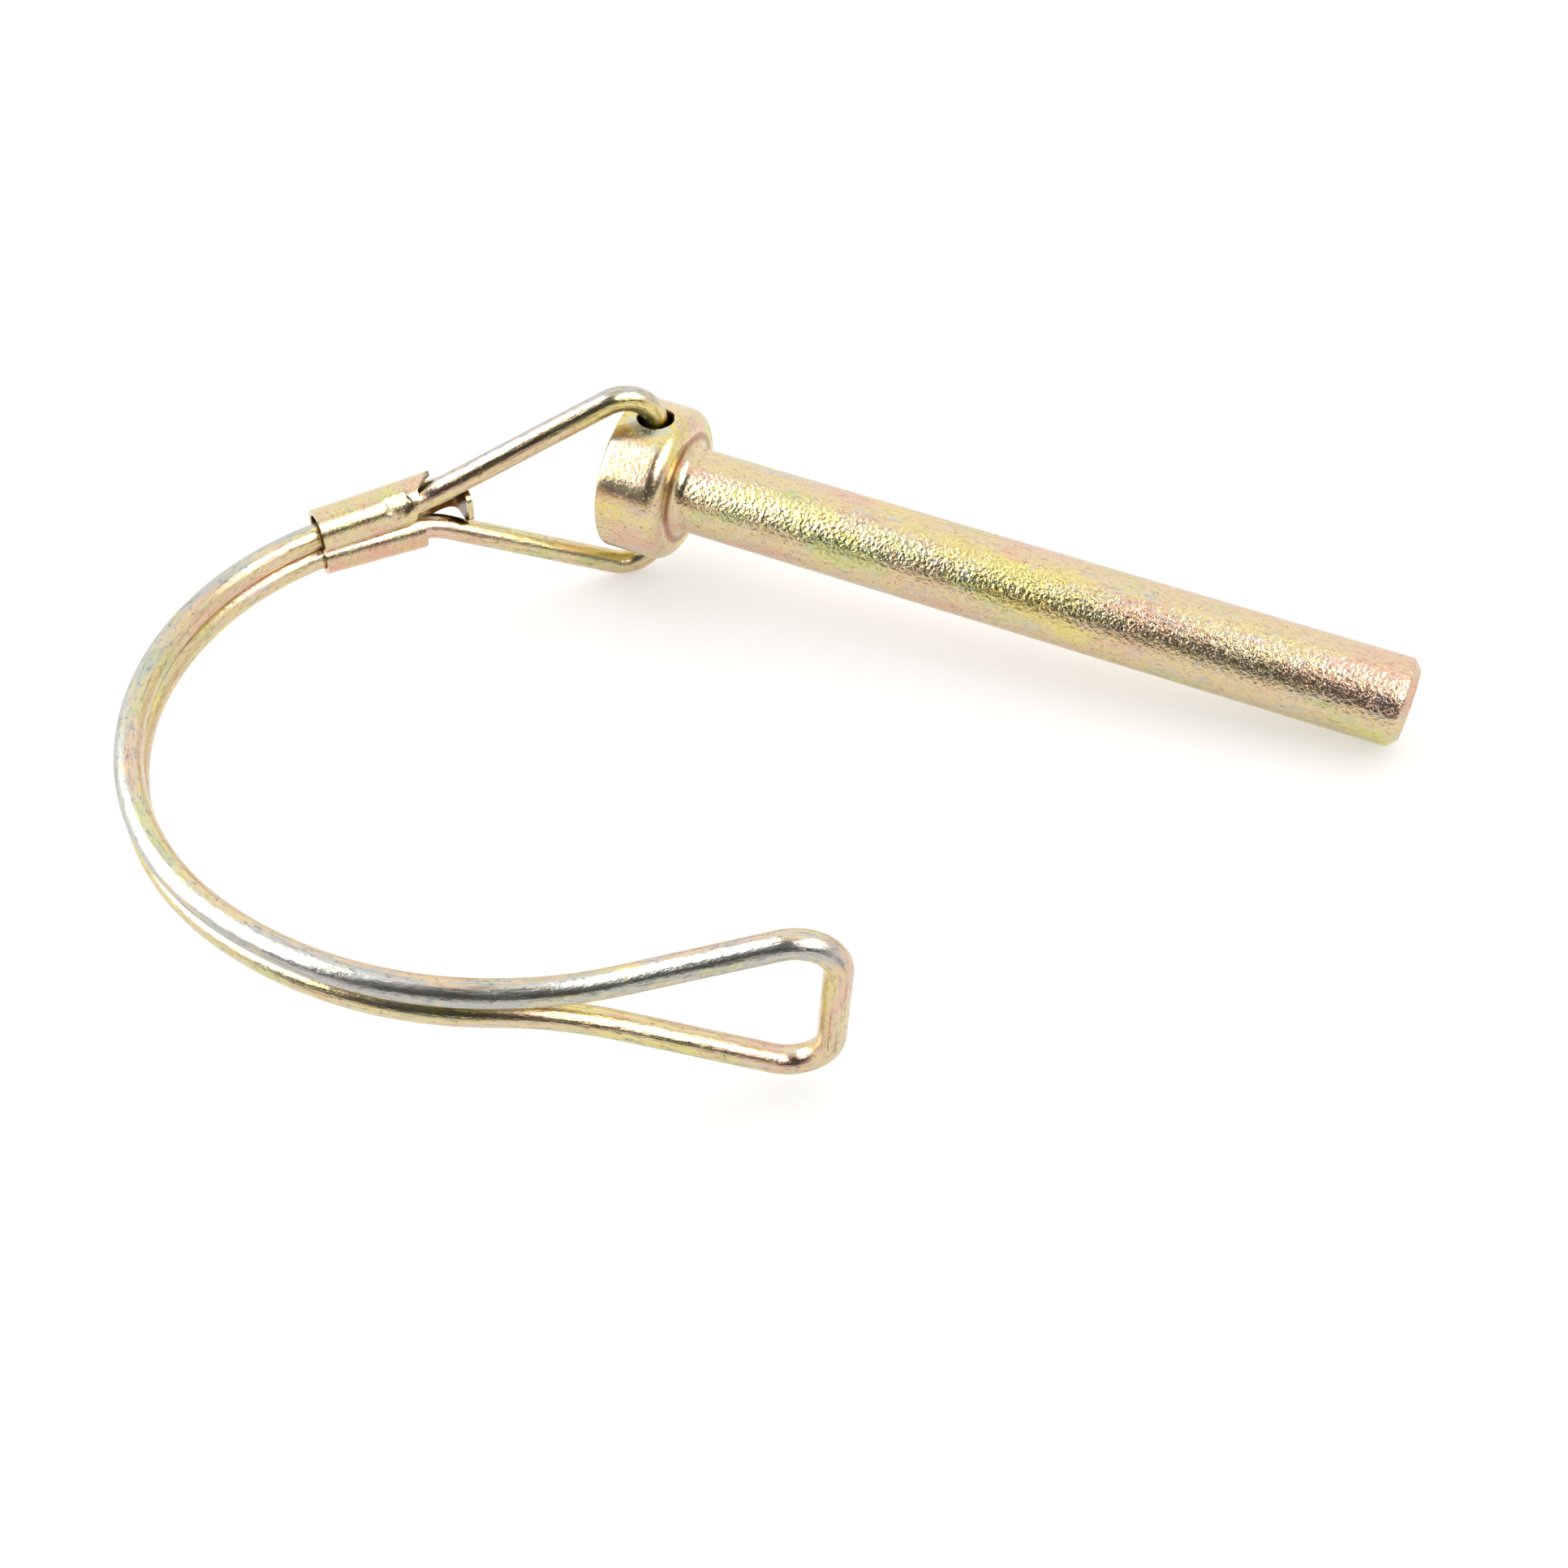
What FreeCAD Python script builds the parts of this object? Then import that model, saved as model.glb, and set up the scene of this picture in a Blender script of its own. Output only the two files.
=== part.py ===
import FreeCAD, Part
import math
import os
from FreeCAD import Vector

# Hitch pin lock: a headed round pin with a wire bail that swings on the head's cross hole.
# All lengths are in millimetres and all angles in degrees.
# +X runs along the pin towards its tip, and +Z along the cross hole. The origin is on the
# pin's axis where its full-diameter shank begins, just past the fillet under the head.

# Pin: one cold-headed piece
shank_dia = 7.94            # 5/16 inch stock
reach = 67.0                # underside of the head to the end of the tip
root_fillet = 1.1           # concave fillet between shank and head
tip_chamfer = 0.8
head_dia = 14.35
head_thickness = 6.2
head_face_round = 0.3       # edge of the outer face
head_rim_round = 1.6        # edge towards the shank
hole_dia = 3.0              # cross hole for the bail's ends
hole_from_underside = 3.2
hole_edge_break = 0.25

# Bail: one spring wire, bent double, both ends in the cross hole
wire_dia = 2.28
leg_end_height = 0.9        # each leg stops this far from the pin's axis
arm_peak_height = 11.38     # where the leg's line and the arm's line meet
arm_peak_round = 3.1
arm_heading = 217.5         # direction of the arms in plan, from +X towards +Y
arm_run = 21.2              # plan distance from the cross hole to the clip's mouth
mouth_spread = 1.52         # half the distance between the wires at the clip's mouth
mouth_round = 8.0
clip_heading = 232.3        # direction of the two wires inside the clip
clip_run = 10.3
tail_round = 6.0            # bend where they leave the clip
bow_heading = 240.3
bow_lead = 1.0              # straight before the bow begins
bow_gap = 0.06              # gap between the wires along the bow
bow_arcs = ((25.9, 104.0), (33.2, 39.5))    # radius and turn of each part of the bow
loop_run = 24.9             # from the end of the bow to the loop's end bar
loop_opening_lead = 4.9     # from the end of the bow to where the wires part
loop_opening_round = 26.0
loop_half_width = 8.68
loop_corner_round = 3.2

# Clip: one piece of sheet metal curled round both wires, looser at its mouth than at its tail.
# A curl's rise is its centre's distance from the plane midway between the wires.
sheet = 0.5
mouth_section = {"upper_rise": 1.80, "upper_radius": 1.55,
                 "lower_rise": 1.62, "lower_radius": 1.38, "lower_edge": 53}
tail_section = {"upper_rise": 1.55, "upper_radius": 1.50,
                "lower_rise": 1.20, "lower_radius": 1.26, "lower_edge": 38}
upper_edge_angle = -64      # free edge of the upper curl, measured from the front towards +Z
mouth_skew = -0.33          # the mouth end is cut askew, so the upper curl is the longer one
mouth_setback = 0.15        # of its middle, behind the bend of the wires
upper_relief = 2.0          # the upper curl is cut back by this much more at its front
upper_relief_span = (-1.1, 0.9)     # how far forward that cut begins and is full
lower_relief = 1.17         # the lower curl's front starts this far behind the bend
curl_gap_height = -0.1      # the gap between the two curls' free edges
tongue_reach = 3.7          # the back wall runs on past the mouth
tongue_half_height = 1.7
tongue_lip = 3.9            # its end turns forward between the arms
tongue_bend = 0.8
tongue_corner_round = 1.2
tongue_overlap = 1.1

shank_r = shank_dia / 2
head_r = head_dia / 2
wire_r = wire_dia / 2
hole_r = hole_dia / 2
underside_x = -root_fillet
hole_x = underside_x - hole_from_underside
tip_x = underside_x + reach
bow_spread = wire_r + bow_gap / 2


def heading(angle):
    return Vector(math.cos(math.radians(angle)), math.sin(math.radians(angle)), 0)


def arc_tangent(radius, turn):
    """Distance from a corner to where its tangent arc begins."""
    return radius * math.tan(math.radians(abs(turn)) / 2)


def rounded_path(corners):
    """One wire of straight runs joined by tangent arcs, from (point, radius) corners."""
    edges = []
    start = corners[0][0]
    for (before, _), (corner, radius), (after, _) in zip(corners, corners[1:], corners[2:]):
        back = (before - corner).normalize()
        ahead = (after - corner).normalize()
        half_angle = back.getAngle(ahead) / 2
        trim = radius / math.tan(half_angle)
        middle = (back + ahead).normalize()
        centre = corner + middle * (radius / math.sin(half_angle))
        arc_start, arc_end = corner + back * trim, corner + ahead * trim
        if start.distanceToPoint(arc_start) > 0.001:
            edges.append(Part.LineSegment(start, arc_start).toShape())
        edges.append(Part.Arc(arc_start, centre - middle * radius, arc_end).toShape())
        start = arc_end
    edges.append(Part.LineSegment(start, corners[-1][0]).toShape())
    return Part.Wire(edges)


def sweep_round(path, radius):
    """A round rod of the given radius along a tangent path."""
    first = path.Edges[0]
    direction = first.tangentAt(first.FirstParameter)
    section = Part.Wire(Part.makeCircle(radius, first.firstVertex().Point, direction))
    rod = path.makePipeShell([section], True, False)
    print("rod length %.2f, volume error %.4f" % (
        path.Length, rod.Volume / (math.pi * radius ** 2 * path.Length) - 1))
    return rod


def make_pin():
    face_x = underside_x - head_thickness
    rim = head_rim_round
    diagonal = math.sqrt(0.5)

    def at(x, r):
        return Vector(x, 0, r)

    def corner_arc(centre_x, centre_r, radius, side_x, side_r):
        """Quarter arc; the side values say which way its middle lies from its centre."""
        middle = at(centre_x + side_x * diagonal * radius, centre_r + side_r * diagonal * radius)
        ends = at(centre_x, centre_r + side_r * radius), at(centre_x + side_x * radius, centre_r)
        return Part.Arc(ends[0], middle, ends[1]).toShape()

    e = head_face_round
    outline = [
        Part.makeLine(at(face_x, 0), at(face_x, head_r - e)),
        corner_arc(face_x + e, head_r - e, e, -1, 1),
        Part.makeLine(at(face_x + e, head_r), at(underside_x - rim, head_r)),
        corner_arc(underside_x - rim, head_r - rim, rim, 1, 1),
        Part.makeLine(at(underside_x, head_r - rim), at(underside_x, shank_r + root_fillet)),
        corner_arc(0, shank_r + root_fillet, root_fillet, -1, -1),
        Part.makeLine(at(0, shank_r), at(tip_x - tip_chamfer, shank_r)),
        Part.makeLine(at(tip_x - tip_chamfer, shank_r), at(tip_x, shank_r - tip_chamfer)),
        Part.makeLine(at(tip_x, shank_r - tip_chamfer), at(tip_x, 0)),
        Part.makeLine(at(tip_x, 0), at(face_x, 0)),
    ]
    profile = Part.Face(Part.Wire(Part.__sortEdges__(outline)))
    pin = profile.revolve(Vector(0, 0, 0), Vector(1, 0, 0), 360)
    hole = Part.makeCylinder(hole_r, 2 * head_dia, Vector(hole_x, 0, -head_dia))
    pin = pin.cut(hole)
    for side in (1, -1):
        # the cone opens outwards and breaks the edge of each mouth
        depth = 2 * hole_edge_break
        base = Vector(hole_x, 0, side * (head_r - hole_edge_break))
        mouth = Part.makeCone(hole_r, hole_r + depth, depth, base, Vector(0, 0, side))
        pin = pin.cut(mouth)
    return pin


def bail_plan():
    """Plan points of the wire: the clip's mouth and tail, the bow's corners, the loop's corners."""
    pivot = Vector(hole_x, 0, 0)
    mouth = pivot + heading(arm_heading) * arm_run
    tail = mouth + heading(clip_heading) * clip_run
    tail_trim = arc_tangent(tail_round, bow_heading - clip_heading)
    point = tail + heading(bow_heading) * (tail_trim + bow_lead)
    direction = bow_heading
    bow = []
    for radius, turn in bow_arcs:
        # an arc is a corner that stands off by the arc's own tangent length
        trim = arc_tangent(radius, turn)
        corner = point + heading(direction) * trim
        bow.append((corner, radius))
        direction += turn
        point = corner + heading(direction) * trim
    opening = point + heading(direction) * loop_opening_lead
    end_bar = point + heading(direction) * loop_run
    return pivot, mouth, tail, bow, opening, end_bar


def make_bail_wire():
    pivot, mouth, tail, bow, opening, end_bar = bail_plan()
    upper = [
        (pivot, leg_end_height, 0),
        (pivot, arm_peak_height, arm_peak_round),
        (mouth, mouth_spread, mouth_round),
        (tail, bow_spread, tail_round),
    ]
    upper += [(corner, bow_spread, radius) for corner, radius in bow]
    upper.append((opening, bow_spread, loop_opening_round))
    upper.append((end_bar, loop_half_width, loop_corner_round))
    there = [(plan + Vector(0, 0, height), radius) for plan, height, radius in upper]
    back = [(plan - Vector(0, 0, height), radius) for plan, height, radius in reversed(upper)]
    return sweep_round(rounded_path(there + back), wire_r)


def clip_point(along, forward, height):
    """A point by its distance from the clip's mouth towards its tail, its front and +Z."""
    mouth = bail_plan()[1]
    side = heading(clip_heading + 90)
    return mouth + heading(clip_heading) * along + side * forward + Vector(0, 0, height)


def clip_section(along, sizes, skew):
    """Closed outline of the curled sheet, across the wires."""
    def curl_point(rise, radius, angle):
        height = rise + radius * math.sin(math.radians(angle))
        return clip_point(along + skew * height, radius * math.cos(math.radians(angle)), height)

    def curl_arc(rise, radius, start_angle, end_angle):
        angles = (start_angle, (start_angle + end_angle) / 2, end_angle)
        points = [curl_point(rise, radius, angle) for angle in angles]
        return Part.Arc(*points).toShape(), points[0], points[2]

    def side_of_sheet(extra):
        upper, upper_edge, upper_back = curl_arc(
            sizes["upper_rise"], sizes["upper_radius"] + extra, upper_edge_angle, 180)
        lower, lower_back, lower_edge = curl_arc(
            -sizes["lower_rise"], sizes["lower_radius"] + extra, 180, 360 + sizes["lower_edge"])
        return [upper, Part.makeLine(upper_back, lower_back), lower], upper_edge, lower_edge

    outer, outer_upper, outer_lower = side_of_sheet(sheet)
    inner, inner_upper, inner_lower = side_of_sheet(0)
    rims = [Part.makeLine(outer_lower, inner_lower), Part.makeLine(inner_upper, outer_upper)]
    return Part.Wire(Part.__sortEdges__(outer + inner + rims))


def make_tongue():
    """The back wall's extension, with its end turned forward and its corners rounded."""
    wall = -mouth_section["upper_radius"] - sheet
    end = -tongue_reach
    turn = tongue_bend + sheet
    diagonal = math.sqrt(0.5)

    def at(along, forward):
        return clip_point(along, forward, -tongue_half_height)

    def bend(radius):
        wall_end = at(end + turn, wall + turn - radius)
        middle = at(end + turn - radius * diagonal, wall + turn - radius * diagonal)
        lip_end = at(end + turn - radius, wall + turn)
        return Part.Arc(wall_end, middle, lip_end).toShape()

    edges = [
        Part.makeLine(at(tongue_overlap, wall), at(end + turn, wall)),
        bend(turn),
        Part.makeLine(at(end, wall + turn), at(end, wall + tongue_lip)),
        Part.makeLine(at(end, wall + tongue_lip), at(end + sheet, wall + tongue_lip)),
        Part.makeLine(at(end + sheet, wall + tongue_lip), at(end + sheet, wall + turn)),
        bend(tongue_bend),
        Part.makeLine(at(end + turn, wall + sheet), at(tongue_overlap, wall + sheet)),
        Part.makeLine(at(tongue_overlap, wall + sheet), at(tongue_overlap, wall)),
    ]
    outline = Part.Face(Part.Wire(Part.__sortEdges__(edges)))
    plate = outline.extrude(Vector(0, 0, 2 * tongue_half_height))
    lip_corners = [clip_point(end + sheet / 2, wall + tongue_lip, side * tongue_half_height)
                   for side in (1, -1)]
    short_edges = [edge for edge in plate.Edges for corner in lip_corners
                   if edge.CenterOfMass.distanceToPoint(corner) < 0.01]
    return plate.makeFillet(tongue_corner_round, short_edges)


def mouth_cutters():
    """Prisms that cut the mouth's edge back at the front of each curl."""
    def prism(plan, bottom, skew, height):
        points = [clip_point(along + skew * bottom, forward, bottom) for along, forward in plan]
        rise = clip_point(skew * height, 0, height) - clip_point(0, 0, 0)
        return Part.Face(Part.makePolygon(points + points[:1])).extrude(rise)

    clear, beyond = -3, 4
    begin, full = upper_relief_span
    upper = [(clear, begin), (mouth_setback, begin), (mouth_setback + upper_relief, full),
             (mouth_setback + upper_relief, beyond), (clear, beyond)]
    lower = [(clear, 0), (lower_relief, 0), (lower_relief, beyond), (clear, beyond)]
    return [prism(upper, curl_gap_height, mouth_skew, beyond + 1),
            prism(lower, curl_gap_height, 0, -beyond)]


def make_ferrule():
    sections = [clip_section(mouth_setback, mouth_section, mouth_skew),
                clip_section(clip_run, tail_section, 0)]
    curls = Part.makeLoft(sections, True, True).cut(mouth_cutters())
    return curls.fuse(make_tongue()).removeSplitter()


def export(name, shape):
    solid = shape.Solids[0]
    print("%s: %d solid, valid %s, volume %.1f" % (
        name, len(shape.Solids), solid.isValid(), solid.Volume))
    solid.exportStep("parts/%s.step" % name)


os.makedirs("parts", exist_ok=True)
export("pin", make_pin())
export("bail_wire", make_bail_wire())
export("ferrule", make_ferrule())
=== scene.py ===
import math

import bmesh
import bpy
from mathutils import Matrix, Vector, noise


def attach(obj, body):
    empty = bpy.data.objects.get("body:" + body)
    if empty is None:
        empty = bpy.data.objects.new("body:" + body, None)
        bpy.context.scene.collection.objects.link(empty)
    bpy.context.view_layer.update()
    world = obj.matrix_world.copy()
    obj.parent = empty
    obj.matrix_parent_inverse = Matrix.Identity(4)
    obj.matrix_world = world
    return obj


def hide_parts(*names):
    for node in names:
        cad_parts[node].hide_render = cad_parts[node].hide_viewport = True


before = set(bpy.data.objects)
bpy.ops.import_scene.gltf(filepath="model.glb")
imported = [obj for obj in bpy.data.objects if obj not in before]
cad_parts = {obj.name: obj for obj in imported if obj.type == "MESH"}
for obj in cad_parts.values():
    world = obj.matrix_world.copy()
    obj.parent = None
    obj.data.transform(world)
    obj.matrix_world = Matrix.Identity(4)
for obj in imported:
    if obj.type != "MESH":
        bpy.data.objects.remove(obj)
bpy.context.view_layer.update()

mm = 0.001
hair = 0.001 * mm  # as good as nothing
cornerAngle = 35  # an edge that turns by more degrees is a real corner


def heading(degrees):
    angle = math.radians(degrees)
    return Vector((math.cos(angle), math.sin(angle), 0))


def only(made, kind):
    return [item for item in made if isinstance(item, kind)]


def toPiece(bm, name):
    bmesh.ops.recalc_face_normals(bm, faces=bm.faces)
    mesh = bpy.data.meshes.new(name)
    bm.to_mesh(mesh)
    bm.free()
    piece = bpy.data.objects.new(name, mesh)
    bpy.context.scene.collection.objects.link(piece)
    return piece


def applyModifiers(piece):
    graph = bpy.context.evaluated_depsgraph_get()
    rough = piece.data
    piece.data = bpy.data.meshes.new_from_object(piece.evaluated_get(graph))
    piece.modifiers.clear()
    bpy.data.meshes.remove(rough)
    piece.data.name = piece.name


def smoothShade(piece):
    # smooth everywhere but over real corners
    bm = bmesh.new()
    bm.from_mesh(piece.data)
    for face in bm.faces:
        face.smooth = True
    for edge in bm.edges:
        edge.smooth = edge.calc_face_angle(0) < math.radians(cornerAngle)
    bm.to_mesh(piece.data)
    bm.free()


def unevenSkin(bm, grain, depth, spot=lambda vert: vert.co):
    # sinks the skin by up to depth, so that highlights waver as on formed steel
    bm.normal_update()
    ripple, elsewhere = 2.7, Vector((7, 3, 1))
    sunk = []
    for vert in bm.verts:
        place = spot(vert) / grain
        swell = noise.noise(place) + 0.5 * noise.noise(place * ripple + elsewhere)
        sunk.append(vert.co - vert.normal * depth * (0.5 + 0.33 * swell))
    for vert, place in zip(bm.verts, sunk):
        vert.co = place


def dress(piece, body, node, material):
    piece.data.materials.clear()
    piece.data.materials.append(material)
    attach(piece, body)
    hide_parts(node)
    print(piece.name, len(piece.data.polygons), "faces")


# shader sockets that can be used in sums
class Sock:
    def __init__(self, tree, socket=None):
        self.tree = tree
        self.socket = socket

    def plug(self, made, key, value):
        if isinstance(value, Sock):
            self.tree.links.new(value.socket, made.inputs[key])
        else:
            made.inputs[key].default_value = value

    def node(self, kind, settings=None, inputs=None, output=0):
        made = self.tree.nodes.new(kind)
        for key, value in (settings or {}).items():
            if key == "stops":
                ramp = made.color_ramp.elements
                while len(ramp) < len(value):
                    ramp.new(0.5)
                for stop, (place, colour) in zip(ramp, value):
                    stop.position = place
                    stop.color = (*colour, 1)
            else:
                setattr(made, key, value)
        for key, value in (inputs or {}).items():
            self.plug(made, key, value)
        return Sock(self.tree, made.outputs[output])

    def sums(self, operation, *values):
        return self.node("ShaderNodeMath", {"operation": operation}, dict(enumerate(values)))

    def __add__(self, other):
        return self.sums("ADD", self, other)

    def __sub__(self, other):
        return self.sums("SUBTRACT", self, other)

    def __mul__(self, other):
        return self.sums("MULTIPLY", self, other)

    def __rsub__(self, other):
        return self.sums("SUBTRACT", other, self)

    def __pow__(self, other):
        return self.sums("POWER", self, other)

    __radd__ = __add__
    __rmul__ = __mul__

    def step(self, low, high):
        # 0 below low, 1 above high, smooth between
        return self.node("ShaderNodeMapRange", {"interpolation_type": "SMOOTHSTEP"},
                         {"Value": self, "From Min": low, "From Max": high})

    def mix(self, other, amount):
        # this colour, turned towards other by amount
        return self.node("ShaderNodeMix", {"data_type": "RGBA"},
                         {0: amount, 6: self, 7: other}, 2)

    def tint(self, colour, amount):
        return self.node("ShaderNodeMix", {"data_type": "RGBA", "blend_type": "MULTIPLY"},
                         {0: amount, 6: self, 7: (*colour, 1)}, 2)

    def ramp(self, *stops):
        return self.node("ShaderNodeValToRGB", {"stops": stops}, {"Fac": self})

    def stretched(self, scale):
        return self.node("ShaderNodeMapping", None, {"Vector": self, "Scale": scale})

    def shifted(self, offset):
        return self.node("ShaderNodeMapping", None, {"Vector": self, "Location": offset})

    def cloud(self, size, detail, roughness):
        # noise whose lumps are about size millimetres
        return self.node("ShaderNodeTexNoise", None,
                         {"Vector": self, "Scale": 1 / (size * mm), "Detail": detail,
                          "Roughness": roughness})

    def along(self, direction):
        return self.node("ShaderNodeVectorMath", {"operation": "DOT_PRODUCT"},
                         {0: self, 1: direction}, "Value")

    def part(self, axis):
        return self.node("ShaderNodeSeparateXYZ", None, {0: self}, axis)


# yellow zinc chromate: pale gold that drifts to green, yellow and pink, with bluish bare zinc
# and worn steel
zinc = {
    "green": (0.56, 0.58, 0.27),
    "yellow": (0.74, 0.64, 0.22),
    "gold": (0.68, 0.55, 0.33),
    "pink": (0.71, 0.46, 0.34),
    "silver": (0.52, 0.56, 0.57),
    "steel": (0.43, 0.46, 0.46),
}
fleckSize = 0.32  # millimetres


def chromate(place, patch, silver):
    # patch is the size of a colour patch, and silver widens the worn spots
    drift = place.cloud(patch, 6, 0.62)
    other = place.shifted((0.31, 0.17, 0.23)).cloud(patch * 1.6, 6, 0.6)
    colour = drift.ramp((0.39, zinc["pink"]), (0.47, zinc["gold"]),
                        (0.54, zinc["gold"]), (0.62, zinc["green"]))
    colour = colour.mix((*zinc["yellow"], 1), other.step(0.53, 0.63) * 0.8)
    colour = colour.mix((*zinc["pink"], 1), (1 - other.step(0.36, 0.47)) * 0.7)
    worn = place.shifted((0.11, 0.47, 0.29)).cloud(patch * 0.35, 7, 0.72)
    colour = colour.mix((*zinc["silver"], 1), worn.step(0.56 - silver, 0.66 - silver) * 0.7)
    veins = place.shifted((0.2, 0.6, 0.1)).cloud(patch * 0.5, 6, 0.7) - 0.5
    colour = colour.mix((*zinc["silver"], 1), (1 - (veins ** 2).step(0, 0.0006)) * 0.35)
    fleck = place.shifted((0.7, 0.3, 0.5)).cloud(fleckSize, 4, 0.7)
    colour = colour.mix((*zinc["yellow"], 1), fleck.step(0.54, 0.62) * 0.4)
    return colour.tint((0.78, 0.72, 0.70), (1 - fleck.step(0.36, 0.46)) * 0.8)


def startMaterial(name):
    material = bpy.data.materials.new(name)
    material.use_nodes = True
    tree = material.node_tree
    return material, tree.nodes["Principled BSDF"], Sock(tree)


def metalMaterial(name, finish):
    # finish gives the colour, the roughness, the dents' height and the depth of its bump
    material, surface, start = startMaterial(name)
    colour, rough, dents, depth = finish(start)
    bump = start.node("ShaderNodeBump", None,
                      {"Strength": 1.0, "Distance": depth * mm, "Height": dents})
    start.plug(surface, "Metallic", 1)
    start.plug(surface, "Base Color", colour)
    start.plug(surface, "Roughness", rough)
    start.plug(surface, "Normal", bump)
    return material


# sizes in millimetres and angles in degrees, as in every dictionary below
pinFinish = {
    "patch": 4.0, "alongPatch": 0.35, "bump": 0.085,
    "grain": 0.34, "cell": 0.4, "pit": 0.5, "haze": 0.9,
    "shankFrom": (-1.4, 1.6), "pinkAround": (-1, 3), "pinkAlong": (4, 24),
    "rootBegins": (4.35, 4.80), "rootEnds": (5.10, 5.45), "rootFrom": (-1.3, -1.2),
    "holeShade": (1.5, 1.75), "holeRub": (2.0, 2.9), "rubAround": (-1.4, -0.6),
}


def pinSurface(start):
    def between(value, key):
        low, high = pinFinish[key]
        return value.step(low * mm, high * mm)

    place = start.node("ShaderNodeTexCoord", output="Object")
    x, y, z = (place.part(axis) for axis in range(3))
    onShank = between(x, "shankFrom")
    colour = chromate(place.stretched((pinFinish["alongPatch"], 1, 1)), pinFinish["patch"], 0)
    farSide = between(y, "pinkAround") * between(x, "pinkAlong")
    colour = colour.mix((*zinc["pink"], 1), farSide * 0.6)
    grain = place.cloud(pinFinish["grain"], 3, 0.65)
    cells = place.node("ShaderNodeTexVoronoi", None,
                       {"Vector": place, "Scale": 1 / (pinFinish["cell"] * mm)})
    pits = place.shifted((0.2, 0.1, 0.4)).cloud(pinFinish["pit"], 3, 0.6).step(0.64, 0.70)
    colour = colour.tint((0.80, 0.72, 0.60), grain.step(0.50, 0.70) * 0.6)
    # painted shade: the pits are darkened in colour as well as sunk by the bump
    colour = colour.tint((0.45, 0.36, 0.28), pits * 0.6)
    # painted shade: a dark ring in the corner where the head meets the fillet
    radius = (y ** 2 + z ** 2) ** 0.5
    root = between(radius, "rootBegins") * (1 - between(radius, "rootEnds"))
    colour = colour.tint((0.50, 0.28, 0.20), root * between(x, "rootFrom") * 0.8)
    # painted shade darkens the cross hole inside, and the skin by it is rubbed on the bail's side
    fromHole = ((x - pin["holeX"] * mm) ** 2 + y ** 2) ** 0.5
    colour = colour.tint((0.20, 0.17, 0.15), 1 - between(fromHole, "holeShade"))
    rubbed = (1 - between(fromHole, "holeRub")) * (1 - between(y, "rubAround"))
    colour = colour.mix((*zinc["silver"], 1), rubbed * 0.8)
    haze = place.cloud(pinFinish["haze"], 4, 0.7)
    rough = 0.18 - 0.05 * onShank + 0.12 * haze + 0.12 * pits
    dents = (grain + 0.5 * cells) * (0.2 + 0.8 * onShank) - 0.5 * pits
    return colour, rough, dents, pinFinish["bump"]


wireFinish = {
    "patch": 1.9, "alongPatch": 0.18, "bump": 0.04,
    # a size, and the share by which the noise is drawn out along the wire: less is longer
    "lump": (1.3, 0.2), "grit": (0.3, 0.4), "streak": (0.25, 0.05), "haze": (0.7, 0.3),
    "wornSide": 262, "wornAlong": ((4, 10), (132, 144)),
}


def wireSurface(start):
    place = start.node("ShaderNodeAttribute", {"attribute_name": "lie"}, None, "Vector")

    def drawnOut(key, detail, roughness):
        size, share = wireFinish[key]
        return place.stretched((1, 1, share)).cloud(size, detail, roughness)

    colour = chromate(place.stretched((1, 1, wireFinish["alongPatch"])), wireFinish["patch"], 0)
    # one side of the upper half is worn to the steel
    side = place.along(heading(wireFinish["wornSide"])) * (1 / (wire["dia"] / 2 * mm))
    starts, ends = ([length * mm for length in pair] for pair in wireFinish["wornAlong"])
    reach = place.part(2)
    rubbed = side + 0.95 * reach.step(*starts) * (1 - reach.step(*ends))
    lumps = drawnOut("lump", 7, 0.75)
    grit = drawnOut("grit", 4, 0.7)
    bare = (rubbed + 4.5 * lumps + 2.4 * grit).step(4.4, 5.4) * 0.8
    colour = colour.mix((*zinc["steel"], 1), bare)
    streaks = drawnOut("streak", 3, 0.6)
    colour = colour.tint((0.52, 0.42, 0.32), streaks.step(0.56, 0.68) * 0.6)
    colour = colour.tint((0.42, 0.38, 0.36), grit.step(0.56, 0.66) * 0.6)
    rough = 0.12 + 0.14 * drawnOut("haze", 4, 0.7) + 0.08 * bare
    return colour, rough, 0.6 * streaks + grit, wireFinish["bump"]


clipFinish = {
    "patch": 2.2, "bump": 0.03, "grain": 0.22, "haze": 0.8,
    "lowerHalf": (-1.2, -0.6),
    "tongueAlong": (-0.9, 0.1), "tongueBack": (-1.95, -1.7), "tongueTip": (1.35, 1.6),
}


def clipSurface(start):
    place = start.node("ShaderNodeTexCoord", output="Object")

    def between(degrees, key):
        # along a heading from the clip's mouth
        way, origin = heading(degrees), clipPoint(0, 0, 0)
        low, high = (origin.dot(way) + end * mm for end in clipFinish[key])
        return place.along(way).step(low, high)

    colour = chromate(place, clipFinish["patch"], -0.02)
    grain = place.cloud(clipFinish["grain"], 4, 0.65)
    colour = colour.tint((0.70, 0.62, 0.48), grain.step(0.52, 0.70) * 0.6)
    low, high = (end * mm for end in clipFinish["lowerHalf"])
    colour = colour.tint((1.0, 0.84, 0.86), 1 - place.part(2).step(low, high))
    # painted shade on the front of the tongue, which lies in shadow between the arms
    along, across = wire["clipHeading"], wire["clipHeading"] + 90
    tongueShade = (1 - between(along, "tongueAlong")) * (1 - between(across, "tongueTip"))
    colour = colour.tint((0.22, 0.13, 0.06), tongueShade * between(across, "tongueBack"))
    rough = 0.08 + 0.08 * place.cloud(clipFinish["haze"], 4, 0.7)
    return colour, rough, grain, clipFinish["bump"]


# the headed pin, with its shank along +X from the fillet's end

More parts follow.
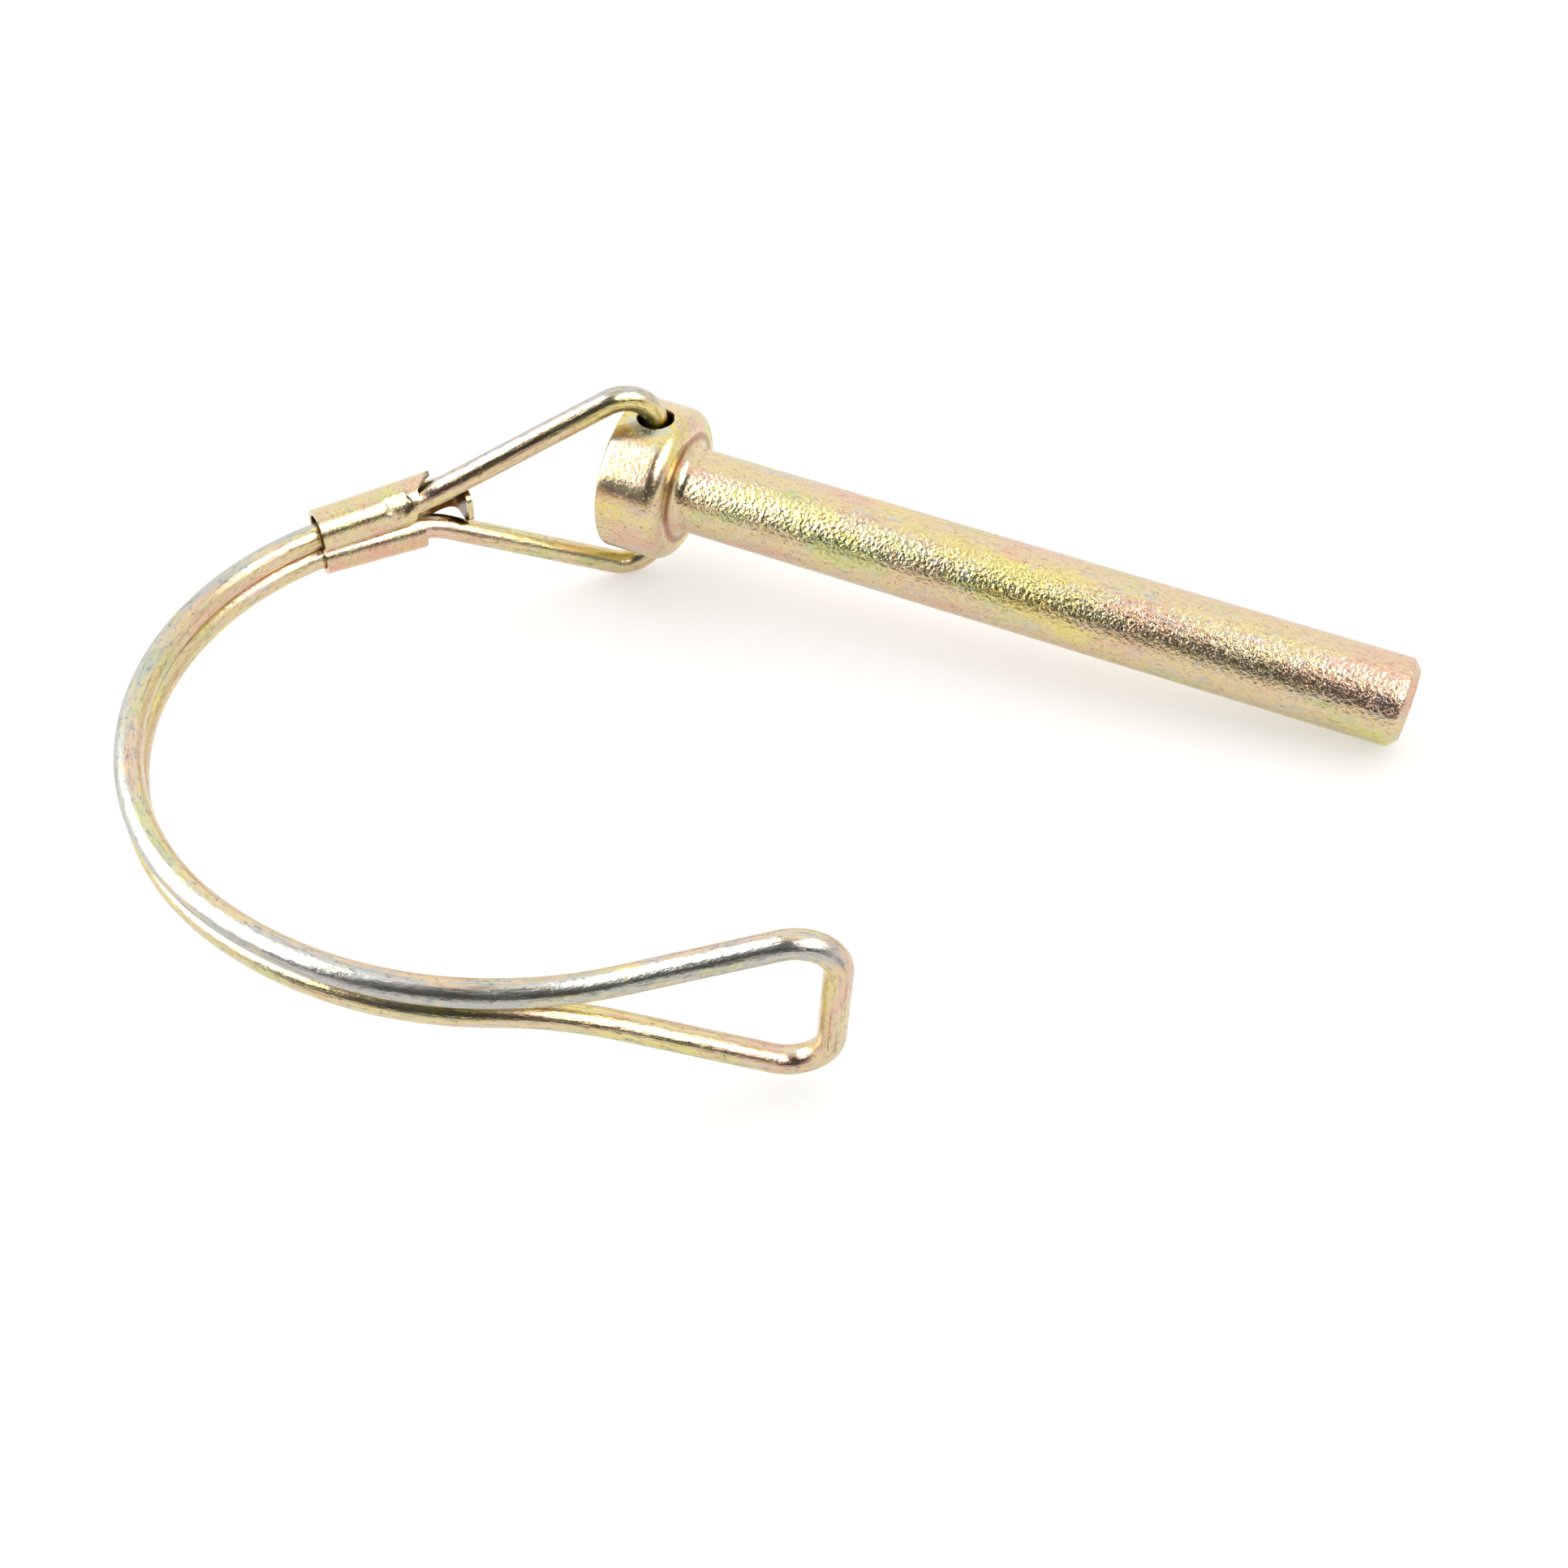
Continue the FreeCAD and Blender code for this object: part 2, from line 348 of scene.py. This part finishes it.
pin = {
    "shankDia": 7.94, "reach": 67.0, "rootFillet": 1.1,
    "tipChamfer": 0.8, "tipSoften": 0.12,
    "headDia": 14.35, "headThickness": 6.2, "faceRound": 0.3, "rimRound": 1.6, "endRing": 0.7,
    "holeDia": 3.0, "holeX": -4.3, "mouthFlare": 0.4,
    "around": 216, "shankRows": 90, "headRows": 8, "holeAround": 72,
    "skinGrain": 2.4, "skinDepth": 0.035,
}


def lathe(bm, profile, axis, steps):
    # turns a line of corner points into a closed solid
    verts = [bm.verts.new(point) for point in profile]
    edges = [bm.edges.new(pair) for pair in zip(verts, verts[1:])]
    bmesh.ops.spin(bm, geom=verts + edges, axis=axis, angle=math.tau, steps=steps, use_merge=True)
    bmesh.ops.remove_doubles(bm, verts=bm.verts, dist=hair / 10)
    bmesh.ops.recalc_face_normals(bm, faces=bm.faces)


def roundRing(bm, x, radius, size, segments):
    # rounds the ring of edges at x and radius
    ring = [edge for edge in bm.edges if all(
        abs(vert.co.x - x * mm) < hair
        and abs(Vector((vert.co.y, vert.co.z)).length - radius * mm) < 2 * hair
        for vert in edge.verts)]
    bmesh.ops.bevel(bm, geom=ring, offset=size * mm, offset_type="OFFSET", segments=segments,
                    profile=0.5, affect="EDGES", material=-1)


def splitAlong(bm, low, high, cuts):
    # divides the long edges that run between two stations on the pin
    edges = [edge for edge in bm.edges
             if min(vert.co.x for vert in edge.verts) < low * mm + 10 * hair
             and max(vert.co.x for vert in edge.verts) > high * mm - 10 * hair]
    bmesh.ops.subdivide_edges(bm, edges=edges, cuts=cuts, use_grid_fill=True)


def makePin():
    shankR, headR = pin["shankDia"] / 2, pin["headDia"] / 2
    under = -pin["rootFillet"]
    face, tip = under - pin["headThickness"], under + pin["reach"]
    ring = pin["endRing"]
    corners = ((face, 0), (face, headR / 2), (face, headR - ring), (face, headR), (under, headR),
               (under, shankR), (tip, shankR), (tip, shankR - 2 * ring), (tip, 0))
    bm = bmesh.new()
    lathe(bm, [Vector((x, 0, r)) * mm for x, r in corners], (1, 0, 0), pin["around"])
    chamfer, soften = pin["tipChamfer"], pin["tipSoften"]
    for x, radius, size, segments in (
            (face, headR, pin["faceRound"], 4), (under, headR, pin["rimRound"], 12),
            (under, shankR, pin["rootFillet"], 10), (tip, shankR, chamfer, 1),
            (tip, shankR - chamfer, soften, 3), (tip - chamfer, shankR, soften, 3)):
        roundRing(bm, x, radius, size, segments)
    splitAlong(bm, 0, tip - chamfer - 2 * soften, pin["shankRows"])
    splitAlong(bm, face + pin["faceRound"], under - pin["rimRound"], pin["headRows"])
    unevenSkin(bm, pin["skinGrain"] * mm, pin["skinDepth"] * mm)
    piece = toPiece(bm, "headedPin")

    # the cutter of the cross hole, which flares at both of the hole's mouths
    holeR, flare = pin["holeDia"] / 2, pin["mouthFlare"]
    half = ((headR + 2, holeR + flare * 4), (headR + 0.1, holeR + flare * 1.3),
            (headR - flare * 0.2, holeR + flare * 0.62), (headR - flare, holeR + flare * 0.2),
            (headR - flare * 2, holeR))
    line = [(half[0][0], 0), *half, *[(-z, r) for z, r in reversed(half)], (-half[0][0], 0)]
    drill = bmesh.new()
    lathe(drill, [Vector((r, 0, z)) * mm for z, r in line], (0, 0, 1), pin["holeAround"])
    bmesh.ops.translate(drill, verts=drill.verts, vec=(pin["holeX"] * mm, 0, 0))
    cutter = toPiece(drill, "crossHoleCutter")
    cut = piece.modifiers.new("crossHole", "BOOLEAN")
    cut.object, cut.solver = cutter, "EXACT"
    applyModifiers(piece)
    bpy.data.objects.remove(cutter)
    smoothShade(piece)
    return piece


# the wire of the bail, bent double

wire = {
    "dia": 2.28, "legEnd": 0.9, "endRound": 0.25,
    "armHeight": 11.38, "armRound": 3.1, "armHeading": 217.5, "armRun": 21.2,
    "mouthSpread": 1.52, "mouthRound": 8.0,
    "clipHeading": 232.3, "clipRun": 10.3, "tailRound": 6.0,
    "bowHeading": 240.3, "bowLead": 1.0, "bowGap": 0.06,
    "bowArcs": ((25.9, 104.0), (33.2, 39.5)),
    "loopRun": 24.9, "openingLead": 4.9, "openingRound": 26.0,
    "loopHalfWidth": 8.68, "loopRound": 3.2,
    "around": 40, "stepLength": 0.7, "stepAngle": 5,
    "skinGrain": 0.9, "skinDepth": 0.012, "skinStretch": 0.08,
}


def wireCorners():
    # corner points and bend radii of the upper half, then of the lower half back again
    def cornerTrim(radius, turn):
        return radius * math.tan(math.radians(turn) / 2)

    spread = (wire["dia"] + wire["bowGap"]) / 2
    pivot = Vector((pin["holeX"], 0, 0))
    mouth = pivot + heading(wire["armHeading"]) * wire["armRun"]
    tail = mouth + heading(wire["clipHeading"]) * wire["clipRun"]
    half = [(pivot, wire["legEnd"], 0), (pivot, wire["armHeight"], wire["armRound"]),
            (mouth, wire["mouthSpread"], wire["mouthRound"]), (tail, spread, wire["tailRound"])]
    lead = cornerTrim(wire["tailRound"], wire["bowHeading"] - wire["clipHeading"]) + wire["bowLead"]
    point, direction = tail + heading(wire["bowHeading"]) * lead, wire["bowHeading"]
    for radius, turn in wire["bowArcs"]:
        corner = point + heading(direction) * cornerTrim(radius, turn)
        half.append((corner, spread, radius))
        direction += turn
        point = corner + heading(direction) * cornerTrim(radius, turn)
    ahead = heading(direction)
    half.append((point + ahead * wire["openingLead"], spread, wire["openingRound"]))
    half.append((point + ahead * wire["loopRun"], wire["loopHalfWidth"], wire["loopRound"]))
    up = [(plan + Vector((0, 0, height)), radius) for plan, height, radius in half]
    return up + [(Vector((p.x, p.y, -p.z)), radius) for p, radius in reversed(up)]


def drawRing(bm, ring, move, length, count, layer, travelled):
    # draws the ring of edges on, count times, and notes how far along the wire it is
    for _ in range(count):
        made = bmesh.ops.extrude_edge_only(bm, edges=ring)["geom"]
        verts = set(only(made, bmesh.types.BMVert))
        bmesh.ops.transform(bm, matrix=move, verts=list(verts))
        ring = [edge for edge in only(made, bmesh.types.BMEdge) if set(edge.verts) <= verts]
        travelled += length / count
        for vert in verts:
            vert[layer] = Vector((vert[layer].x, vert[layer].y, travelled))
    return ring, travelled


def makeWire():
    corners = [(point * mm, radius * mm) for point, radius in wireCorners()]
    radius, stepLength = wire["dia"] / 2 * mm, wire["stepLength"] * mm
    start, direction = corners[0][0], (corners[1][0] - corners[0][0]).normalized()
    bm = bmesh.new()
    layer = bm.verts.layers.float_vector.new("lie")
    turned = Matrix.Translation(start) @ direction.to_track_quat("Z", "Y").to_matrix().to_4x4()
    bmesh.ops.create_circle(bm, segments=wire["around"], radius=radius, matrix=turned)
    for vert in bm.verts:
        flat = turned.inverted() @ vert.co
        vert[layer] = Vector((flat.x, flat.y, 0))
    ring, travelled = list(bm.edges), 0
    endRings = [list(ring)]
    points = [point for point, bend in corners]
    for (corner, bend), before, after in zip(corners[1:-1], points, points[2:]):
        back, ahead = (before - corner).normalized(), (after - corner).normalized()
        half = back.angle(ahead) / 2
        trim = bend / math.tan(half)
        run = (corner + back * trim - start).length
        if run > hair:
            count = max(1, round(run / stepLength))
            move = Matrix.Translation(-back * run / count)
            ring, travelled = drawRing(bm, ring, move, run, count, layer, travelled)
        turn = math.pi - 2 * half
        count = math.ceil(max(turn / math.radians(wire["stepAngle"]), turn * bend / stepLength))
        centre = corner + (back + ahead).normalized() * bend / math.sin(half)
        swing = Matrix.Rotation(turn / count, 4, back.cross(ahead) * -1)
        move = Matrix.Translation(centre) @ swing @ Matrix.Translation(-centre)
        ring, travelled = drawRing(bm, ring, move, turn * bend, count, layer, travelled)
        start = corner + ahead * trim
    run = (points[-1] - start).length
    count = max(1, round(run / stepLength))
    move = Matrix.Translation((points[-1] - start) / count)
    ring, travelled = drawRing(bm, ring, move, run, count, layer, travelled)
    endRings.append(ring)
    for rim in endRings:
        bmesh.ops.contextual_create(bm, geom=rim)
    bmesh.ops.recalc_face_normals(bm, faces=bm.faces)
    bmesh.ops.bevel(bm, geom=endRings[0] + endRings[1], offset=wire["endRound"] * mm,
                    offset_type="OFFSET", segments=3, profile=0.5, affect="EDGES", material=-1)
    stretch = Vector((1, 1, wire["skinStretch"]))
    unevenSkin(bm, wire["skinGrain"] * mm, wire["skinDepth"] * mm,
               lambda vert: vert[layer] * stretch)
    print("wire length", round(travelled / mm, 1), "mm, its end is at", points[-1] / mm)
    piece = toPiece(bm, "bailWire")
    smoothShade(piece)
    return piece


# the sheet clip, rolled round both wires

clip = {
    "sheet": 0.5,
    "mouth": {"upperRise": 1.80, "upperRadius": 1.55,
              "lowerRise": 1.62, "lowerRadius": 1.38, "lowerEdge": 57},
    "tail": {"upperRise": 1.55, "upperRadius": 1.50,
             "lowerRise": 1.20, "lowerRadius": 1.26, "lowerEdge": 42},
    "upperEdge": -64,
    "mouthSkew": -0.33, "mouthSetback": 0.15,
    "upperRelief": 2.0, "reliefSpan": (-1.1, 0.9), "lowerRelief": 0.9,
    "tongueReach": 3.7, "tongueHalf": 1.7, "tongueLip": 3.9, "tongueBend": 0.8, "tongueRound": 1.2,
    "footDrop": 0.8, "footReach": 0.6,
    "dentAlong": 3.1, "dentAngle": 34, "dentLength": 1.35, "dentWidth": 1.0, "dentDepth": 0.2,
    "dentRagged": 0.35, "dentGrain": 0.625,
    "columns": 120, "rows": 72, "edgeSoften": 0.07, "edgeAngle": 50,
}


def clipPoint(along, forward, height):
    # along the clip from its mouth, forward of the arms' middle plane, and up
    mouth = Vector((pin["holeX"], 0, 0)) + heading(wire["armHeading"]) * wire["armRun"]
    back, side = heading(wire["clipHeading"]), heading(wire["clipHeading"] + 90)
    return (mouth + back * along + side * forward + Vector((0, 0, height))) * mm


def rolled(share, size):
    # where a share of the way across the sheet lies once it is rolled: forward, height, angle
    upR, lowR = size["upperRadius"] + clip["sheet"] / 2, size["lowerRadius"] + clip["sheet"] / 2
    upTurn, lowTurn = 180 - clip["upperEdge"], 180 + size["lowerEdge"]
    upLength, lowLength = upR * math.radians(upTurn), lowR * math.radians(lowTurn)
    wall = math.hypot(size["upperRise"] + size["lowerRise"], upR - lowR)
    spot = share * (upLength + wall + lowLength)
    if spot <= upLength:
        angle = clip["upperEdge"] + upTurn * spot / upLength
        radius, rise = upR, size["upperRise"]
    elif spot < upLength + wall:
        t = (spot - upLength) / wall
        return -upR + (upR - lowR) * t, size["upperRise"] * (1 - t) - size["lowerRise"] * t, 180
    else:
        angle = 180 + lowTurn * (spot - upLength - wall) / lowLength
        radius, rise = lowR, -size["lowerRise"]
    turn = math.radians(angle)
    return radius * math.cos(turn), rise + radius * math.sin(turn), angle


def mouthStart(across, forward, height):
    # the mouth's edge is askew, and cut back at the front of each curl
    start = clip["mouthSetback"] + clip["mouthSkew"] * height
    if across < 0.5:
        begin, full = clip["reliefSpan"]
        return start + clip["upperRelief"] * min(1, max(0, (forward - begin) / (full - begin)))
    return max(start, clip["lowerRelief"]) if forward > 0 else start


def rollSheet(bm, level):
    # the flat blank is rolled round both wires, with the crimp dent in its front
    for vert in bm.verts:
        across, down = vert.co.x + 0.5, vert.co.y + 0.5
        mouthForward, mouthHeight, angle = rolled(across, clip["mouth"])
        tailForward, tailHeight, _ = rolled(across, clip["tail"])
        start = mouthStart(across, mouthForward, mouthHeight)
        along = start + (wire["clipRun"] - start) * down
        forward = mouthForward + (tailForward - mouthForward) * down
        height = mouthHeight + (tailHeight - mouthHeight) * down
        if across < 0.5:
            turn = math.radians(angle)
            arc = (turn - math.radians(clip["dentAngle"])) * clip["mouth"]["upperRadius"]
            ruggedAt = Vector((along, arc, 0)) / clip["dentGrain"] + Vector((0, 0, 3))
            ragged = 1 + clip["dentRagged"] * noise.noise(ruggedAt)
            off = ragged * math.hypot((along - clip["dentAlong"]) / clip["dentLength"],
                                      arc / clip["dentWidth"])
            sink = clip["dentDepth"] * max(0, 1 - off ** 3)
            forward -= sink * math.cos(turn)
            height -= sink * math.sin(turn)
        if down < 0.001 and forward < -1:  # the back wall's edge, from which the tongue grows
            vert[level] = mouthHeight
        vert.co = clipPoint(along, forward, height)


def growTongue(bm, level):
    # the back wall runs on past the mouth, and its end turns forward between the arms
    half, thick, corner = clip["tongueHalf"], clip["sheet"], clip["tongueRound"]
    foot = half + clip["footDrop"]
    bend = clip["tongueBend"] + thick / 2
    wall = -clip["mouth"]["upperRadius"] - thick / 2
    end = -clip["tongueReach"] + thick / 2
    lip = wall - thick / 2 + clip["tongueLip"]
    slack = 0.08  # takes in the row of the sheet that is nearest to the tongue's edge
    rim = [edge for edge in bm.edges if edge.is_boundary and all(
        -foot < vert[level] < half + slack and vert[level] != 0 for vert in edge.verts)]
    levels = [vert[level] for edge in rim for vert in edge.verts]
    highest, deepest = max(levels), -min(levels)
    # each station is a place along, a place forward and a share of the width
    stations = [((end + bend) * share, wall, 1) for share in (0.1, 0.25, 0.4, 0.55, 0.7, 0.85, 1)]
    for degrees in range(10, 91, 10):
        turn = math.radians(degrees)
        along, forward = end + bend * (1 - math.sin(turn)), wall + bend * (1 - math.cos(turn))
        stations.append((along, forward, 1))
    straight = lip - (wall + bend)
    for left in (0.9, 0.72, 0.56, 0.42, 0.3, 0.2, 0.12, 0.06, 0.02, 0):
        inner = max(0, corner - left * straight)
        reach = half - corner + math.sqrt(corner ** 2 - inner ** 2)
        stations.append((end, lip - left * straight, reach / half))
    footEnd = clip["tongueReach"] * clip["footReach"]
    for along, forward, narrow in stations:
        drop = half + (deepest - half) * max(0, 1 + along / footEnd) ** 2
        made = bmesh.ops.extrude_edge_only(bm, edges=rim)["geom"]
        verts = only(made, bmesh.types.BMVert)
        rim = [edge for edge in only(made, bmesh.types.BMEdge) if set(edge.verts) <= set(verts)]
        for vert in verts:
            scale = half / highest if vert[level] > 0 else drop / deepest
            vert.co = clipPoint(along, forward, vert[level] * scale * narrow)


def makeClip():
    bm = bmesh.new()
    level = bm.verts.layers.float.new("level")
    bmesh.ops.create_grid(bm, x_segments=clip["columns"], y_segments=clip["rows"], size=0.5)
    rollSheet(bm, level)
    growTongue(bm, level)
    piece = toPiece(bm, "wireClip")
    wall = piece.modifiers.new("sheet", "SOLIDIFY")
    wall.thickness, wall.offset = clip["sheet"] * mm, 0
    edges = piece.modifiers.new("softEdges", "BEVEL")
    edges.width, edges.segments, edges.limit_method = clip["edgeSoften"] * mm, 2, "ANGLE"
    edges.angle_limit = math.radians(clip["edgeAngle"])
    applyModifiers(piece)
    smoothShade(piece)
    return piece


headedPin = makePin()
dress(headedPin, "pin", "pin", metalMaterial("zincPinFinish", pinSurface))
bailWire = makeWire()
dress(bailWire, "bail", "bail_wire",
      metalMaterial("zincWireFinish", wireSurface))
wireClip = makeClip()
dress(wireClip, "bail", "ferrule", metalMaterial("zincClipFinish", clipSurface))


# a pale room, with its floor through three points under the object

studio = {
    "restsOn": ((-6.8, -1.9, -10.85), (30, -50, -9.9), (65.9, 0, -4.05)),
    "floorSize": 3000, "floorWhite": 0.86, "floorGlow": 0.42,
    "skyWhite": 1.0, "darkWhite": 0.055,
    "farWall": {"heading": 120, "facing": (0.3, 0.8), "glow": 0.25},
    "darkWalls": (
        {"rise": (-4, 2, 76, 88), "heading": -86, "spread": (28, 44)},
        {"rise": (-4, 2, 27, 35), "heading": -70, "spread": (54, 70)},
    ),
    "softBoxes": (
        {"centre": (-315, -188, 240), "edge": (0, -0.79, -0.615), "size": (403, 350), "glow": 7},
        {"centre": (275, -92, 358), "edge": (0.74, -0.25, -0.63), "size": (290, 420), "glow": 4.5},
    ),
}
camera = {
    "azimuth": 19.818, "elevation": 48.411, "roll": -3.441,
    "distance": 152.207, "target": (20.986, -30.185, 0), "fieldOfView": 44.845,
}


def makeFloor():
    a, b, c = (Vector(point) * mm for point in studio["restsOn"])
    normal = (b - a).cross(c - a).normalized()
    if normal.z < 0:
        normal.negate()
    bm = bmesh.new()
    bmesh.ops.create_grid(bm, x_segments=1, y_segments=1, size=studio["floorSize"] / 2 * mm)
    tilt = normal.to_track_quat("Z", "Y").to_matrix().to_4x4()
    bmesh.ops.transform(bm, matrix=Matrix.Translation((a + b + c) / 3) @ tilt, verts=bm.verts)
    floor = toPiece(bm, "paleFloor")
    material, surface, start = startMaterial("floorPaint")
    white = studio["floorWhite"]
    start.plug(surface, "Roughness", 0.9)
    start.plug(surface, "Base Color", (white, white, white, 1))
    start.plug(surface, "Emission Color", (1, 1, 1, 1))
    start.plug(surface, "Emission Strength", studio["floorGlow"])
    floor.data.materials.append(material)


def makeSoftBox(plan, lit):
    # lights the metal but not the floor, and is turned about its edge to face the origin
    length, width = (size * mm for size in plan["size"])
    lamp = bpy.data.lights.new("softBox", "AREA")
    lamp.shape, lamp.size, lamp.size_y = "RECTANGLE", length, width
    lamp.energy = plan["glow"] * math.pi * length * width
    box = bpy.data.objects.new("softBox", lamp)
    bpy.context.scene.collection.objects.link(box)
    place = Vector(plan["centre"]) * mm
    edge = Vector(plan["edge"]).normalized()
    away = (place - edge * place.dot(edge)).normalized()
    turned = Matrix((edge, away.cross(edge), away)).transposed().to_4x4()
    box.matrix_world = Matrix.Translation(place) @ turned
    box.light_linking.receiver_collection = lit


def makeLight(pieces):
    metal = bpy.data.collections.new("metalwork")
    for piece in pieces:
        metal.objects.link(piece)
    for plan in studio["softBoxes"]:
        makeSoftBox(plan, metal)

    # pale walls all round, but for the dark side of the room behind the camera
    world = bpy.data.worlds.new("studioWalls")
    bpy.context.scene.world = world
    world.use_nodes = True
    sky = world.node_tree.nodes["Background"]
    start = Sock(world.node_tree)
    way = start.node("ShaderNodeTexCoord", output="Generated")
    flat = way.node("ShaderNodeVectorMath", {"operation": "MULTIPLY"}, {0: way, 1: (1, 1, 0)})
    flat = way.node("ShaderNodeVectorMath", {"operation": "NORMALIZE"}, {0: flat})
    lit = 1
    for wall in studio["darkWalls"]:
        low, full, fade, clear = (math.sin(math.radians(angle)) for angle in wall["rise"])
        near, far = (math.cos(math.radians(angle)) for angle in wall["spread"])
        dark = way.part(2).step(low, full) * (1 - way.part(2).step(fade, clear))
        lit = lit * (1 - dark * flat.along(heading(wall["heading"])).step(far, near))
    walls = lit.ramp((0, (studio["darkWhite"],) * 3), (1, (studio["skyWhite"],) * 3))
    seen = start.node("ShaderNodeLightPath", output="Is Camera Ray")
    start.plug(sky, "Color", walls.mix((1, 1, 1, 1), seen))
    farWall = studio["farWall"]
    facing = flat.along(heading(farWall["heading"])).step(*farWall["facing"])
    start.plug(sky, "Strength", 1 + farWall["glow"] * facing)


def makeCamera():
    az, el, roll = (math.radians(camera[key]) for key in ("azimuth", "elevation", "roll"))
    back = Vector((math.sin(az) * math.cos(el), -math.cos(az) * math.cos(el), math.sin(el)))
    level = (-back).cross(Vector((0, 0, 1))).normalized()
    down = (-back).cross(level)
    right = level * math.cos(roll) + down * math.sin(roll)
    down = down * math.cos(roll) - level * math.sin(roll)
    lens = bpy.data.cameras.new("viewCamera")
    lens.angle = math.radians(camera["fieldOfView"])
    lens.clip_start = 10 * mm
    eye = bpy.data.objects.new("viewCamera", lens)
    bpy.context.scene.collection.objects.link(eye)
    turned = Matrix((right, -down, back)).transposed().to_4x4()
    place = (Vector(camera["target"]) + back * camera["distance"]) * mm
    eye.matrix_world = Matrix.Translation(place) @ turned
    bpy.context.scene.camera = eye


makeFloor()
makeLight((headedPin, bailWire, wireClip))
makeCamera()
bpy.context.scene.view_settings.view_transform = "Standard"
print("floor, light and camera are in place")
